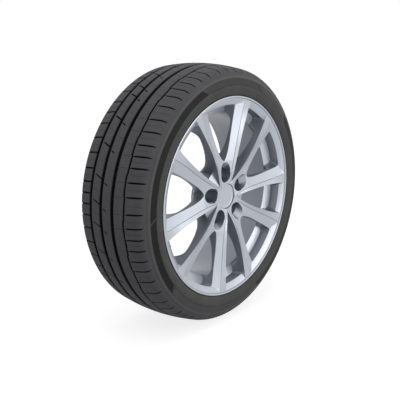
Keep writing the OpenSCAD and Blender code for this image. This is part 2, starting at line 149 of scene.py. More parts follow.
class Bench:
    """Modelling moves with Blender's operators, shared by the sub-assemblies."""

    FACE_WEIGHT = 60

    @staticmethod
    def clear() -> None:
        """Leaves edit mode and deselects everything."""
        if bpy.context.mode != "OBJECT":
            bpy.ops.object.mode_set(mode="OBJECT")
        bpy.ops.object.select_all(action="DESELECT")

    @staticmethod
    def take(piece: bpy.types.Object) -> None:
        """Makes a piece the only one selected, and the active one."""
        Bench.clear()
        piece.select_set(True)
        bpy.context.view_layer.objects.active = piece

    @staticmethod
    def edit(piece: bpy.types.Object) -> None:
        """Opens a piece in edit mode with all of it selected."""
        Bench.take(piece)
        bpy.ops.object.mode_set(mode="EDIT")
        bpy.ops.mesh.select_all(action="SELECT")

    @staticmethod
    def outline(name: str, points: Sequence[Vector], filled: bool) -> bpy.types.Object:
        """Adds a ring of corners and puts each at its point.

        Args:
            name: The new piece's name.
            points: World places of the corners, in order.
            filled: Whether the ring is closed with a face.

        Returns:
            The new piece.
        """
        Bench.clear()
        bpy.ops.mesh.primitive_circle_add(
            vertices=len(points), fill_type="NGON" if filled else "NOTHING", location=(0, 0, 0)
        )
        piece = bpy.context.object
        piece.name = piece.data.name = name
        for vertex, point in zip(piece.data.vertices, points):
            vertex.co = point
        return piece

    @staticmethod
    def tidy(piece: bpy.types.Object, gap: float = 1e-6) -> None:
        """Merges doubles and turns every face outward.

        Args:
            piece: The piece.
            gap: Corners nearer than this, in metres, are merged.
        """
        Bench.edit(piece)
        bpy.ops.mesh.remove_doubles(threshold=gap)
        bpy.ops.mesh.normals_make_consistent(inside=False)
        bpy.ops.object.mode_set(mode="OBJECT")

    @staticmethod
    def lathe(name: str, section: Section, steps: int) -> bpy.types.Object:
        """Spins a closed section round the axle.

        Args:
            name: The new piece's name.
            section: Points as (radius, height).
            steps: Faces round the turn.

        Returns:
            The closed ring.
        """
        piece = Bench.outline(name, [on_wheel(r, 0, h) for r, h in section], filled=False)
        Bench.edit(piece)
        bpy.ops.mesh.spin(steps=steps, angle=math.tau, center=(0, 0, 0), axis=(0, 1, 0))
        Bench.tidy(piece)
        Bench.edit(piece)
        bpy.ops.mesh.delete_loose(use_verts=True, use_edges=True, use_faces=False)
        bpy.ops.object.mode_set(mode="OBJECT")
        return piece

    @staticmethod
    def loft(name: str, sections: Sequence[Sequence[Vector]], closed: bool = False) -> bpy.types.Object:
        """Extrudes a face from section to section.

        Args:
            name: The new piece's name.
            sections: Rings of world points, all with the same count.
            closed: Whether the last section joins the first, as in a hoop.

        Returns:
            The closed piece.
        """
        piece = Bench.outline(name, sections[0], filled=not closed)
        count = len(sections[0])
        Bench.edit(piece)
        extrude = bpy.ops.mesh.extrude_edges_move if closed else bpy.ops.mesh.extrude_region_move
        for _ in sections[1:]:
            extrude(TRANSFORM_OT_translate={"value": (0, 0, 0)})
        bpy.ops.object.mode_set(mode="OBJECT")
        ring = list(range(count))
        placed = {0: ring}
        neighbours: dict[int, list[int]] = {}
        for edge in piece.data.edges:
            for a, b in (edge.vertices, reversed(edge.vertices)):
                neighbours.setdefault(a, []).append(b)
        seen = set(ring)
        for step in range(1, len(sections)):
            fresh = [[n for n in neighbours[v] if n not in seen] for v in ring]
            ring = [options[0] for options in fresh]
            seen.update(ring)
            placed[step] = ring
        for step, ring in placed.items():
            for vertex, point in zip(ring, sections[step]):
                piece.data.vertices[vertex].co = point
        if closed:
            Bench.edit(piece)
            bpy.ops.mesh.select_all(action="DESELECT")
            bpy.ops.mesh.select_non_manifold(extend=False)
            bpy.ops.mesh.bridge_edge_loops()
            bpy.ops.object.mode_set(mode="OBJECT")
        Bench.tidy(piece, 1e-8)
        # An end face that curves is split about its middle, so that a boolean reads it right.
        Bench.edit(piece)
        bpy.ops.mesh.select_all(action="DESELECT")
        bpy.ops.mesh.select_mode(type="FACE")
        bpy.ops.mesh.select_face_by_sides(number=4, type="GREATER")
        bpy.ops.mesh.poke()
        bpy.ops.mesh.select_mode(type="VERT")
        bpy.ops.object.mode_set(mode="OBJECT")
        return piece

    @staticmethod
    def turned(piece: bpy.types.Object, angle: float) -> bpy.types.Object:
        """Copies a piece, with its own mesh.

        Args:
            piece: The piece to copy.
            angle: Degrees that the copy is turned round the axle.

        Returns:
            The copy.
        """
        copy = piece.copy()
        copy.data = piece.data.copy()
        bpy.context.collection.objects.link(copy)
        copy.data.transform(Matrix.Rotation(-math.radians(angle), 4, "Y"))
        return copy

    @staticmethod
    def join(pieces: Sequence[bpy.types.Object]) -> bpy.types.Object:
        """Joins pieces into the first one's mesh.

        Args:
            pieces: The pieces; all but the first are used up.

        Returns:
            The first piece.
        """
        Bench.take(pieces[0])
        for piece in pieces:
            piece.select_set(True)
        bpy.ops.object.join()
        return pieces[0]

    @staticmethod
    def combine(body: bpy.types.Object, other: bpy.types.Object, cut: Cut) -> None:
        """Joins a second solid to a body, removes it, or keeps only what both share.

        Args:
            body: The solid that stays.
            other: The solid that is used up.
            cut: What the second solid does to the first.
        """
        Bench.take(body)
        bpy.ops.object.modifier_add(type="BOOLEAN")
        modifier = body.modifiers[-1]
        modifier.operation, modifier.solver, modifier.object = cut.value, "MANIFOLD", other
        bpy.ops.object.modifier_apply(modifier=modifier.name)
        bpy.data.objects.remove(other)

    @staticmethod
    def mirror(piece: bpy.types.Object) -> None:
        """Cuts a piece at the axle's level and mirrors what is above it, as one skin.

        Args:
            piece: The piece, on the +X axis.
        """
        Bench.edit(piece)
        bpy.ops.mesh.bisect(plane_co=(0, 0, 0), plane_no=(0, 0, 1), clear_inner=True, threshold=1e-6)
        bpy.ops.object.mode_set(mode="OBJECT")
        bpy.ops.object.modifier_add(type="MIRROR")
        modifier = piece.modifiers[-1]
        modifier.use_axis, modifier.merge_threshold = (False, False, True), 2e-6
        bpy.ops.object.modifier_apply(modifier=modifier.name)
        Bench.tidy(piece)

    @staticmethod
    def dress(piece: bpy.types.Object, sharp: float, material: bpy.types.Material) -> bpy.types.Object:
        """Shades a piece smooth up to an angle, with large faces keeping their own normals.

        Args:
            piece: The piece.
            sharp: Edges that turn more than this many degrees stay sharp.
            material: The piece's only material.

        Returns:
            The piece.
        """
        Bench.take(piece)
        bpy.ops.object.shade_smooth_by_angle(angle=math.radians(sharp))
        bpy.ops.object.modifier_add(type="WEIGHTED_NORMAL")
        modifier = piece.modifiers[-1]
        modifier.keep_sharp, modifier.weight = True, Bench.FACE_WEIGHT
        bpy.ops.object.modifier_apply(modifier=modifier.name)
        piece.data.materials.clear()
        piece.data.materials.append(material)
        return piece


class Value:
    """A number in a material; Python arithmetic on it adds the Math nodes."""

    def __init__(self, finish: "Finish", socket: bpy.types.NodeSocket) -> None:
        """Wraps a socket of a finish's node tree."""
        self.finish, self.socket = finish, socket

    def math(self, operation: str, *others: Any) -> "Value":
        """Adds one Math node on this value and others."""
        values = {i: value for i, value in enumerate((self, *others))}
        return self.finish.number("ShaderNodeMath", {"operation": operation}, values)

    def _pair(self, operation: str, first: Any, second: Any) -> "Value":
        """Adds a Math node on two values, either of which may be a plain number."""
        return self.finish.number("ShaderNodeMath", {"operation": operation}, {0: first, 1: second})

    def __add__(self, other: Any) -> "Value":
        """Adds."""
        return self._pair("ADD", self, other)

    __radd__ = __add__

    def __sub__(self, other: Any) -> "Value":
        """Subtracts."""
        return self._pair("SUBTRACT", self, other)

    def __rsub__(self, other: Any) -> "Value":
        """Subtracts from a number."""
        return self._pair("SUBTRACT", other, self)

    def __mul__(self, other: Any) -> "Value":
        """Multiplies."""
        return self._pair("MULTIPLY", self, other)

    __rmul__ = __mul__

    def __truediv__(self, other: Any) -> "Value":
        """Divides."""
        return self._pair("DIVIDE", self, other)

    def root(self) -> "Value":
        """Gives the square root."""
        return self.math("SQRT")

    def fraction(self) -> "Value":
        """Gives what is left above the whole number."""
        return self.math("FRACT")

    def step(self, low: float, high: float) -> "Value":
        """Rises from 0 at low to 1 at high with soft ends.

        Args:
            low: Where it leaves 0.
            high: Where it reaches 1; below low, the value falls instead.

        Returns:
            The value from 0 to 1.
        """
        settings = {"interpolation_type": "SMOOTHSTEP", "clamp": True}
        ends = {3: 0.0, 4: 1.0} if low < high else {3: 1.0, 4: 0.0}
        low, high = min(low, high), max(low, high)
        return self.finish.number("ShaderNodeMapRange", settings, {0: self, 1: low, 2: high, **ends})

    def band(self, low: float, high: float, edge: float) -> "Value":
        """Is 1 between low and high and 0 outside, with edges of the given width."""
        return self.step(low - edge / 2, low + edge / 2) * self.step(high + edge / 2, high - edge / 2)


Colour = tuple[float, float, float]


class Finish:
    """One material in the making."""

    FIRST_COLOUR, SECOND_COLOUR, MIXED = 6, 7, 2

    def __init__(self, name: str) -> None:
        """Starts a material with an empty tree but for its output and its surface shader.

        Args:
            name: The material's name.
        """
        self.material = bpy.data.materials.new(name)
        self.material.use_nodes = True
        self.tree = self.material.node_tree
        self.tree.nodes.clear()
        self.output = self.tree.nodes.new("ShaderNodeOutputMaterial")
        self.shader = self.tree.nodes.new("ShaderNodeBsdfPrincipled")
        self.tree.links.new(self.shader.outputs[0], self.output.inputs[0])
        self._coordinates: bpy.types.Node | None = None

    def node(self, kind: str, settings: dict[str, Any], inputs: dict[Any, Any]) -> bpy.types.Node:
        """Adds a node.

        Args:
            kind: The node's type.
            settings: Its properties, set before its sockets.
            inputs: Values, sockets or links for its input sockets, by name or number.

        Returns:
            The new node.
        """
        node = self.tree.nodes.new(kind)
        for key, value in settings.items():
            setattr(node, key, value)
        for key, value in inputs.items():
            self.feed(node.inputs[key], value)
        return node

    def number(self, kind: str, settings: dict[str, Any], inputs: dict[Any, Any]) -> Value:
        """Adds a node and wraps its first output."""
        return Value(self, self.node(kind, settings, inputs).outputs[0])

    def feed(self, socket: bpy.types.NodeSocket, value: Any) -> None:
        """Sets a socket, or links to it.

        Args:
            socket: The input socket.
            value: A constant, a value or an output socket.
        """
        if isinstance(value, Value):
            self.tree.links.new(value.socket, socket)
        elif isinstance(value, bpy.types.NodeSocket):
            self.tree.links.new(value, socket)
        else:
            socket.default_value = value

    def coordinates(self, kind: str) -> bpy.types.NodeSocket:
        """Gives one output of the finish's only Texture Coordinate node."""
        if self._coordinates is None:
            self._coordinates = self.node("ShaderNodeTexCoord", {}, {})
        return self._coordinates.outputs[kind]

    def axes(self, kind: str) -> tuple[Value, Value, Value]:
        """Gives the three numbers of a coordinate."""
        split = self.node("ShaderNodeSeparateXYZ", {}, {0: self.coordinates(kind)})
        return Value(self, split.outputs[0]), Value(self, split.outputs[1]), Value(self, split.outputs[2])

    def polar(self) -> tuple[Value, Value, Value]:
        """Reads a point on the wheel.

        Returns:
            Its radius and height in millimetres, and its angle in whole turns from 0 to 1.
        """
        x, y, z = self.axes("Object")
        radius = (x * x + z * z).root() / MM
        turn = (z.math("ARCTAN2", x) / math.tau + 1.0).fraction()
        return radius, y / -MM, turn

    def across(self) -> Value:
        """Gives how far a face looks along the axle: 1 for a wheel's front, 0 for a wall."""
        return self.axes("Normal")[1].math("ABSOLUTE")

    def noise(self, scale: float, detail: float = 3.0, rough: float = 0.5) -> Value:
        """Gives soft noise from 0 to 1 on the piece, with scale in features a metre."""
        place = self.coordinates("Object")
        inputs = {"Vector": place, "Scale": scale, "Detail": detail, "Roughness": rough}
        return self.number("ShaderNodeTexNoise", {}, inputs)

    def blend(self, amount: Value, first: Any, second: Any) -> bpy.types.NodeSocket:
        """Mixes two colours.

        Args:
            amount: 0 gives the first colour and 1 the second.
            first: A colour or a socket of colour.
            second: Another.

        Returns:
            The socket of the mixed colour.
        """
        node = self.node("ShaderNodeMix", {"data_type": "RGBA"}, {0: amount})
        for index, colour in ((self.FIRST_COLOUR, first), (self.SECOND_COLOUR, second)):
            plain = not isinstance(colour, bpy.types.NodeSocket)
            self.feed(node.inputs[index], (*colour, 1.0) if plain else colour)
        return node.outputs[self.MIXED]

    def relief(self, height: Value, depth: float) -> bpy.types.NodeSocket:
        """Turns a height from 0 to 1 into a surface relief of so many millimetres."""
        inputs = {"Height": height, "Strength": 1.0, "Distance": depth * MM}
        return self.node("ShaderNodeBump", {}, inputs).outputs[0]

    def set(self, **sockets: Any) -> None:
        """Sets the surface shader's sockets; a name's underscores stand for its spaces."""
        for name, value in sockets.items():
            self.feed(self.shader.inputs[name.replace("_", " ")], value)


@dataclass(frozen=True)
class SilverPaint:
    """Silver paint with fine flakes under a clear coat.

    The flanks and the hollows just behind the ring's front are painted darker, and the inside of the
    barrel darker still: painted shade. The ledge in those hollows is painted brighter, a painted
    highlight. A pair of limits gives where a region starts to fade in and where it is full.
    """

    face: Colour = (0.58, 0.615, 0.68)
    # flank_shade: painted shade on the walls and in the hollows behind the ring's front
    flank_shade: Colour = (0.29, 0.31, 0.35)
    # barrel: a deeper painted shade inside the barrel
    barrel: Colour = (0.25, 0.268, 0.305)
    # The ledge's colour, brighter than the face: a painted highlight.
    turned: Colour = (0.66, 0.69, 0.74)
    shade: float = 0.88
    cast_scale: float = 38.0
    flake_scale: float = 1400.0
    metallic: float = 0.72
    roughness: float = 0.42
    front_facing: Pair = (0.45, 0.75)
    hollow_r: Pair = (198.0, 208.0)
    hollow_h: Pair = (40.0, 95.5)
    ledge_facing: Pair = (0.80, 0.93)
    ledge_h: Pair = (78.0, 75.0)
    barrel_r: Pair = (200.0, 208.0)
    barrel_h: Pair = (62.0, 58.0)
    relief: float = 0.03

    def make(self) -> bpy.types.Material:
        """Builds the material.

        Returns:
            The material.
        """
        paint = Finish("silver_paint")
        radius, height, _ = paint.polar()
        across = paint.across()
        cast = paint.noise(self.cast_scale, 4.0)
        flakes = paint.noise(self.flake_scale, 1.0)
        hollow = radius.step(*self.hollow_r) * height.band(*self.hollow_h, 2.0)
        ledge = hollow * across.step(*self.ledge_facing) * height.step(*self.ledge_h)
        # Faces looking along the axle outside the hollows, and the ledge, keep the bright colour; the rest
        # takes painted shade.
        front_lit = (across.step(*self.front_facing) * (1.0 - hollow)).math("MAXIMUM", ledge)
        # Deep inside the barrel the painted shade is darker still.
        inside = radius.step(*self.barrel_r) * height.step(*self.barrel_h)
        front = paint.blend(cast * 0.25, self.face, tuple(c * self.shade for c in self.face))
        # The ledge takes the brighter colour, a painted highlight.
        front = paint.blend(ledge, front, self.turned)
        # The walls and hollows take the painted shade colours.
        painted_shade = paint.blend(inside, self.flank_shade, self.barrel)
        paint.set(
            Base_Color=paint.blend(front_lit, painted_shade, front),
            Metallic=self.metallic,
            Roughness=self.roughness - (front_lit + ledge) * 0.05 - inside * 0.08 + flakes * 0.08,
            Coat_Weight=0.35,
            Coat_Roughness=0.12,
            Normal=paint.relief(flakes * 0.4 + cast * 0.6, self.relief),
        )
        return paint.material


@dataclass(frozen=True)
class TreadRubber:
    """Vulcanised rubber: matt crown, grooves painted near black as painted shade, and a greyer sidewall with
    a band of arcs.

    A pair of limits gives where a region starts to fade in and where it is full.
    """

    crown: Colour = (0.118, 0.114, 0.125)
    # groove: painted shade in the grooves and the shoulder's notches
    groove: Colour = (0.008, 0.008, 0.009)
    wall: Colour = (0.100, 0.100, 0.100)
    # band: the band's recess, painted darker partly for its smoother moulding and partly as painted shade
    band: Colour = (0.018, 0.018, 0.0185)
    # wear_and_sheen: lighter rubber for random wear, a painted highlight along the sidewall's ridge, and
    # lines at the band's ends
    wear_and_sheen: Colour = (0.165, 0.163, 0.160)
    groove_depths: Pair = (1.2, 3.4)
    notch_depths: Pair = (0.9, 2.4)
    notch_end_h: Pair = (106.5, 105.0)
    wall_r: Pair = (312.0, 306.0)
    ridge_r: Pair = (303.4, 308.4)
    outboard_h: Pair = (80.0, 90.0)
    mottle_scale: float = 26.0
    grain_scale: float = 900.0
    roughness: float = 0.62
    relief: float = 0.08

    def sunk(self, tyre: "Tyre", radius: Value, height: Value) -> Value:
        """Finds what lies in a groove.

        Args:
            tyre: The tyre, for its surface.
            radius: The point's radius.
            height: The point's height.

        Returns:
            1 deep in a groove of the crown or the shoulder, and 0 on the tread.
        """
        side = height.math("ABSOLUTE")
        edge = tyre.crown_half - 0.5
        surface = tyre.outer_r - height * height * (0.5 / tyre.crown_curve)
        below = (surface - radius).step(*self.groove_depths) * side.step(edge + 2.0, edge)
        c_r, c_h = tyre.shoulder_centre()
        corner = ((radius - c_r) * (radius - c_r) + (side - c_h) * (side - c_h)).root()
        notch = (tyre.shoulder_r - corner).step(*self.notch_depths)
        notch = notch * side.step(edge, edge + 2.0) * side.step(*self.notch_end_h)
        return below.math("MAXIMUM", notch)

    def make(self, tyre: "Tyre") -> bpy.types.Material:
        """Builds the material.

        Args:
            tyre: The tyre, whose sizes place the grooves and the band.

        Returns:
            The material.
        """
        rubber = Finish("tread_rubber")
        radius, height, turn = rubber.polar()
        # groove_shade: where the grooves and notches are painted near black, as painted shade.
        groove_shade = self.sunk(tyre, radius, height)
        outboard = height.step(*self.outboard_h)
        # The band's arcs end on a slant, so the angle is read further on toward its outer edge.
        lean = (radius - tyre.band_in_r) * (tyre.slant / (tyre.band_out_r - tyre.band_in_r))
        angle = ((turn * 360.0 - lean) / 360.0 + 1.0).fraction() * 360.0
        strip = radius.band(tyre.band_in_r, tyre.band_out_r, 0.8) * outboard
        bare, seams = 0.0, 0.0
        for start, end in tyre.plain_arcs:
            bare = angle.band(start, end, 0.3) + bare
        for at in tyre.seams:
            seams = angle.band(at - 0.35, at + 0.35, 0.4) + seams
        soft = angle.band(*tyre.soft_arc, 0.3)
        # The band's recess is painted darker, partly for its smoother moulding and partly as painted shade;
        # less so over the soft arc.
        recess = strip * (1.0 - bare) * (1.0 - soft * 0.72)
        line = radius.band(tyre.band_in_r - 0.5, tyre.band_in_r + 0.6, 0.4) * outboard
        ridge = radius.band(*self.ridge_r, 1.6) * outboard
        mottling = rubber.noise(self.mottle_scale, 5.0, 0.6)
        grain = rubber.noise(self.grain_scale, 2.0)
        body = rubber.blend(radius.step(*self.wall_r), self.crown, self.wall)
        body = rubber.blend(mottling.step(0.35, 0.75) * 0.30, body, self.wear_and_sheen)
        # The sidewall's ridge is painted lighter, a painted highlight.
        body = rubber.blend(ridge * 0.7, body, self.wear_and_sheen)
        body = rubber.blend(recess.math("MAXIMUM", line * (soft + bare * 0.4)), body, self.band)
        body = rubber.blend(seams * strip * 0.6, body, self.wear_and_sheen)
        rubber.set(
            Base_Color=rubber.blend(groove_shade, body, self.groove),
            Roughness=self.roughness - recess * 0.14 + grain * 0.12 + groove_shade * 0.25,
            Specular_IOR_Level=0.15,
            Normal=rubber.relief(grain * 0.5 + mottling * 0.5, self.relief),
        )
        return rubber.material


@dataclass(frozen=True)
class Plain:
    """A small part's even finish with a fine grain."""

    name: str
    colour: Colour
    metallic: float
    roughness: float

    def make(self) -> bpy.types.Material:
        """Builds the material.

        Returns:
            The material.
        """
        finish = Finish(self.name)
        grain = finish.noise(1500.0, 2.0)
        finish.set(
            Base_Color=finish.blend(grain * 0.3, self.colour, tuple(c * 0.7 for c in self.colour)),
            Metallic=self.metallic,
            Roughness=self.roughness + grain * 0.1,
            Normal=finish.relief(grain, 0.02),
        )
        return finish.material


@dataclass
class PitchRow:
    """A row of grooves round the tread, spaced by a repeating code of pitch lengths.

    Real tread rows mix short, middle and long pitches so that the tyre doesn't hum.
    """

    first: float
    code: str
    short: float = 4.85
    middle: float = 5.8
    long: float = 6.9

    def angles(self) -> list[float]:
        """Spaces the row's grooves, scaled so that the row closes.

        Returns:
            The angle of each groove round one turn.
        """
        lengths = {"S": self.short, "M": self.middle, "L": self.long}
        scale = 360.0 / sum(lengths[letter] for letter in self.code)
        angles, angle = [], self.first
        for letter in self.code:
            angles.append(angle)
            angle += lengths[letter] * scale
        return angles


@dataclass
class Tyre:
    """The tyre: one moulded casing with its tread cut in."""

    outer_r: float = 335.25
    crown_curve: float = 487.0
    crown_half: float = 86.5
    shoulder_r: float = 22.5
    wall_half: float = 114.6
    groove_depth: float = 7.5
    steps: int = 288
    band_in_r: float = 285.6
    band_out_r: float = 302.2
    plain_arcs: tuple[Pair, ...] = ((36.6, 64.4), (218.1, 291.4))
    soft_arc: Pair = (65.6, 108.4)
    seams: tuple[float, ...] = (36.2, 65.0, 108.8, 179.0, 217.7, 291.8, 357.5)
    slant: float = 3.0
    wide_grooves: tuple[Pair, ...] = ((23.0, 11.5), (-14.5, -25.5), (-52.0, -62.0))
    shoulder_end: float = 74.0
    shoulder_steps: int = 10
    crown_edge: float = 4.0
    crown_step: float = 9.0
    groove_lean: float = 1.3
    tread_thickness: float = 16.0
    sharp: float = 32.0
    jog_at: float = 53.0
    jog: float = 1.3
    jog_half: float = 2.9
    jog_depth: float = 6.8

    def crown_r(self, height: float) -> float:
        """Gives the radius of the crown at a height."""
        return self.outer_r - height * height / (2 * self.crown_curve)

    def shoulder_slope(self) -> float:
        """Gives the tilt of the crown where the shoulder starts, in radians."""
        return math.atan(self.crown_half / self.crown_curve)

    def shoulder_centre(self) -> Pair:
        """Gives the (radius, height) of the shoulder's centre."""
        slope = self.shoulder_slope()
        return (
            self.crown_r(self.crown_half) - self.shoulder_r * math.cos(slope),
            self.crown_half - self.shoulder_r * math.sin(slope),
        )

    def surface(self, along: float, depth: float = 0.0) -> Pair:
        """Gives the (radius, height) of a point on the tread.

        Args:
            along: Distance over the tread from its middle; positive is outboard.
            depth: Distance below the surface.

        Returns:
            The point in the section.
        """
        side, along = math.copysign(1.0, along), abs(along)
        if along <= self.crown_half:
            return self.crown_r(along) - depth, side * along
        c_r, c_h = self.shoulder_centre()
        a = self.shoulder_slope() + (along - self.crown_half) / self.shoulder_r
        reach = self.shoulder_r - depth
        return c_r + reach * math.cos(a), side * (c_h + reach * math.sin(a))

    def side_section(self) -> list[Corner]:
        """Draws one side, from the crown's edge round the bead to the lining.

        Returns:
            The corners of the outboard side.
        """
        c_r, c_h = self.shoulder_centre()
        slope, reach = self.shoulder_slope(), self.shoulder_r
        corners = []
        for i in range(self.shoulder_steps + 1):
            a = slope + (math.radians(self.shoulder_end) - slope) * i / self.shoulder_steps
            corners.append(Corner(c_r + reach * math.cos(a), c_h + reach * math.sin(a)))
        w = self.wall_half
        return corners + corners_at(
            (308.9, w - 7.6, 1.5, 2), (self.band_out_r + 1.6, w - 4.6, 2.0, 3),
            (self.band_out_r + 0.2, w - 5.0, 0.6, 2), (self.band_in_r - 0.2, w - 1.2, 1.5, 2),
            (self.band_in_r - 1.8, w - 0.2, 2.0, 4), (277.0, w, 9.0, 4),
            (268.5, w - 1.6, 6.0, 3), (262.4, w - 4.2, 2.0, 3),
            (260.2, 108.0), (259.4, 104.2, 1.0, 2), (257.0, 101.3),
            (247.1, 101.3), (241.9, 98.6), (241.0, 95.1),
            (239.9, 82.5, 0.5, 2), (241.6, 81.6, 0.6, 2),
            (248.0, 84.5), (258.0, 93.5), (268.0, 101.0), (287.0, 105.4),
            (300.0, 101.5), (309.0, 92.0), (317.0, 76.0),
        )

    def section(self) -> Section:
        """Draws the casing with its three wide grooves.

        Returns:
            The closed section.
        """
        outboard = self.side_section()
        corners: list[Corner] = []
        start = self.crown_half - self.crown_edge
        for top, bottom in (*self.wide_grooves, (-start, 0.0)):
            count = max(2, round((start - top) / self.crown_step))
            for i in range(count + 1):
                h = start + (top - start) * i / count
                rim = i in (0, count) and abs(h) < self.crown_half - 5
                corners.append(Corner(self.crown_r(h), h, *((0.9, 1) if rim else ())))
            if bottom:
                for edge, inward in ((top, -self.groove_lean), (bottom, self.groove_lean)):
                    corners.append(Corner(self.crown_r(edge) - self.groove_depth, edge + inward, 1.6, 2))
                start = bottom
        corners += [Corner(c.u, -c.v, c.radius, c.steps) for c in outboard]
        lining = (-50.0, -25.0, 0.0, 25.0, 50.0)
        corners += [Corner(self.crown_r(h) - self.tread_thickness, h) for h in lining]
        corners += list(reversed(outboard))
        return rounded(corners)

    def cutter(self, name: str, path: GroovePath) -> bpy.types.Object:
        """Makes the solid that cuts one narrow groove.

        Args:
            name: The cutter's name.
            path: Stations as (distance over the tread, sideways shift, width, depth).

        Returns:
            The cutter at angle 0.
        """
        sections = []
        for along, shift, width, depth in path:
            ring = []
            for lift, side in ((-2.0, -1), (-2.0, 1), (depth, 1), (depth, -1)):
                radius, height = self.surface(along, lift)
                x = math.degrees((shift + side * width / 2) / radius)
                ring.append(on_wheel(radius, x, height))
            sections.append(ring)
        return Bench.loft(name, sections)

    def row(self, cutter: bpy.types.Object, angles: Sequence[float]) -> list[bpy.types.Object]:
        """Copies a cutter to each angle and uses the first up."""
        copies = [Bench.turned(cutter, angle) for angle in angles]
        bpy.data.objects.remove(cutter)
        return copies

    def cut_tread(self, body: bpy.types.Object) -> None:
        """Cuts every narrow groove and sipe into the tread.

        Args:
            body: The casing.
        """
        outer_at = PitchRow(119.7, "SMLMMSSMMLMSSSSMLLMMSSMLMSSMMLMSMLLMSSSMMLMSSMLMMSSMLLMSSMMLMSS").angles()
        inner_code = "LMMLLLMSSSMLLMMLMMSLLMSSMMLLMSSSMLLMMLMSSSMLLMMLMMSSMLLMMSSLMSM"
        inner_at = PitchRow(123.9, inner_code, 4.5, 5.4, 6.35).angles()
        middle_at = [angle + 2.7 for angle in inner_at]
        rows: list[tuple[str, list[float], GroovePath]] = [
            ("outer_bold", outer_at, [
                (56.5, 2.4, 1.6, 4.0), (59.5, 2.1, 2.4, 5.0), (63.0, 1.8, 4.0, 6.0), (80.0, 0.3, 4.4, 6.5),
                (92.0, -0.8, 4.2, 6.5), (99.0, -1.5, 3.6, 4.5), (105.0, -2.2, 2.4, 1.2),
                (108.5, -2.6, 1.2, -0.4),
            ]),
            ("outer_sipe", self.between(outer_at), [
                (60.0, 2.0, 0.55, 3.5), (78.0, 0.5, 0.55, 4.0), (94.0, -1.0, 0.55, 3.0),
                (101.0, -1.6, 0.5, 0.8),
            ]),
            ("rib_sipe", [angle + 0.6 for angle in outer_at], [
                (28.0, 0.8, 0.6, 3.5), (39.0, 0.3, 0.6, 4.5), (49.0, 0.0, 0.6, 3.5),
            ]),
            ("notch", [angle + 2.75 for angle in middle_at[0::2]], [
                (-13.8, -2.9, 1.0, 3.0), (-10.5, -1.6, 1.6, 4.0), (-9.5, -1.2, 4.0, 5.5),
                (-0.6, 2.6, 3.6, 5.5),
            ]),
            ("slant_sipe", [angle + 2.75 for angle in middle_at[1::2]], [
                (-11.0, -2.6, 0.55, 3.0), (0.0, 1.6, 0.55, 4.0), (11.0, 5.6, 0.55, 3.0),
            ]),
            ("bar", middle_at[0::2], [
                (-47.0, -4.0, 2.4, 4.5), (-43.0, -2.6, 4.0, 6.0), (-30.0, 2.4, 4.2, 6.5),
                (-24.0, 4.7, 4.2, 6.5),
            ]),
            ("thin_bar", middle_at[1::2], [
                (-51.0, -5.4, 0.55, 3.0), (-38.0, -0.4, 0.55, 4.0), (-27.0, 3.6, 0.55, 3.0),
            ]),
            ("inner_bold", inner_at, [
                (-60.0, -0.7, 3.0, 5.0), (-68.0, -0.2, 4.0, 6.0), (-80.0, 0.5, 4.2, 6.5),
                (-90.0, 1.4, 4.0, 6.5), (-99.0, 3.0, 3.4, 4.5), (-105.0, 5.0, 2.4, 1.5),
                (-109.0, 6.6, 1.4, -0.4),
            ]),
            ("inner_sipe", self.between(inner_at), [
                (-64.0, 0.0, 0.55, 3.5), (-80.0, 0.7, 0.55, 4.0), (-98.0, 2.6, 0.55, 2.0),
                (-102.0, 3.4, 0.5, 0.6),
            ]),
        ]
        cuts: list[bpy.types.Object] = []
        for name, angles, path in rows:
            cuts += self.row(self.cutter(name, path), angles)
        Bench.combine(body, Bench.join(cuts), Cut.REMOVE)
        Bench.combine(body, self.zigzag(outer_at), Cut.REMOVE)

    def between(self, angles: list[float]) -> list[float]:
        """Gives the angles halfway between those of a closed row."""
        return [(a + b) / 2 for a, b in zip(angles, angles[1:] + [angles[0] + 360])]

    def zigzag(self, pitches: Sequence[float]) -> bpy.types.Object:
        """Makes the hoop that cuts the narrow outboard groove, with a jog every pitch and a half.

        Args:
            pitches: The angles of the outboard row.

        Returns:
            The hoop.
        """
        jogs = []
        for i in range(0, len(pitches) - 2, 3):
            jogs.append((pitches[i], 1.0))
            jogs.append(((pitches[i + 1] + pitches[i + 2]) / 2, -1.0))
        # A jog takes 0.9 degrees, and between jogs the groove drifts halfway back to its middle line.
        stations = []
        for (angle, level), (after, _) in zip(jogs, jogs[1:] + [(jogs[0][0] + 360, 0.0)]):
            halfway = (angle + after) / 2
            stations += [(angle + 0.6, level), (halfway, level * 0.75), (after - 0.3, level * 0.5)]
        sections = []
        for angle, level in stations:
            ring = []
            for lift, side in ((-2.0, -1), (-2.0, 1), (self.jog_depth, 1), (self.jog_depth, -1)):
                radius, height = self.surface(self.jog_at + level * self.jog + side * self.jog_half, lift)
                ring.append(on_wheel(radius, angle, height))
            sections.append(ring)
        return Bench.loft("zigzag", sections, closed=True)

    def pad(self, start: float, end: float) -> bpy.types.Object:
        """Makes the low plain panel that fills the sidewall's band between two angles.

        Args:
            start: The first angle, at the band's inner edge.
            end: The last one.

        Returns:
            The panel.
        """
        inner, outer = self.band_in_r - 0.6, self.band_out_r + 0.6
        top_in, top_out = self.wall_half - 0.45, self.wall_half - 4.3
        count = max(2, round(end - start))
        sections = []
        for i in range(count + 1):
            angle = start + (end - start) * i / count
            sections.append([
                on_wheel(inner, angle, top_in), on_wheel(outer, angle + self.slant, top_out),
                on_wheel(outer, angle + self.slant, top_out - 2.0), on_wheel(inner, angle, top_in - 2.4),
            ])
        return Bench.loft("band_pad", sections)

    def build(self) -> bpy.types.Object:
        """Makes the casing, cuts the tread and dresses it.

        Returns:
            The finished tyre.
        """
        body = Bench.lathe("tyre_casing", self.section(), self.steps)
        for arc in self.plain_arcs:
            Bench.combine(body, self.pad(*arc), Cut.JOIN)
        self.cut_tread(body)
        return Bench.dress(body, self.sharp, TreadRubber().make(self))


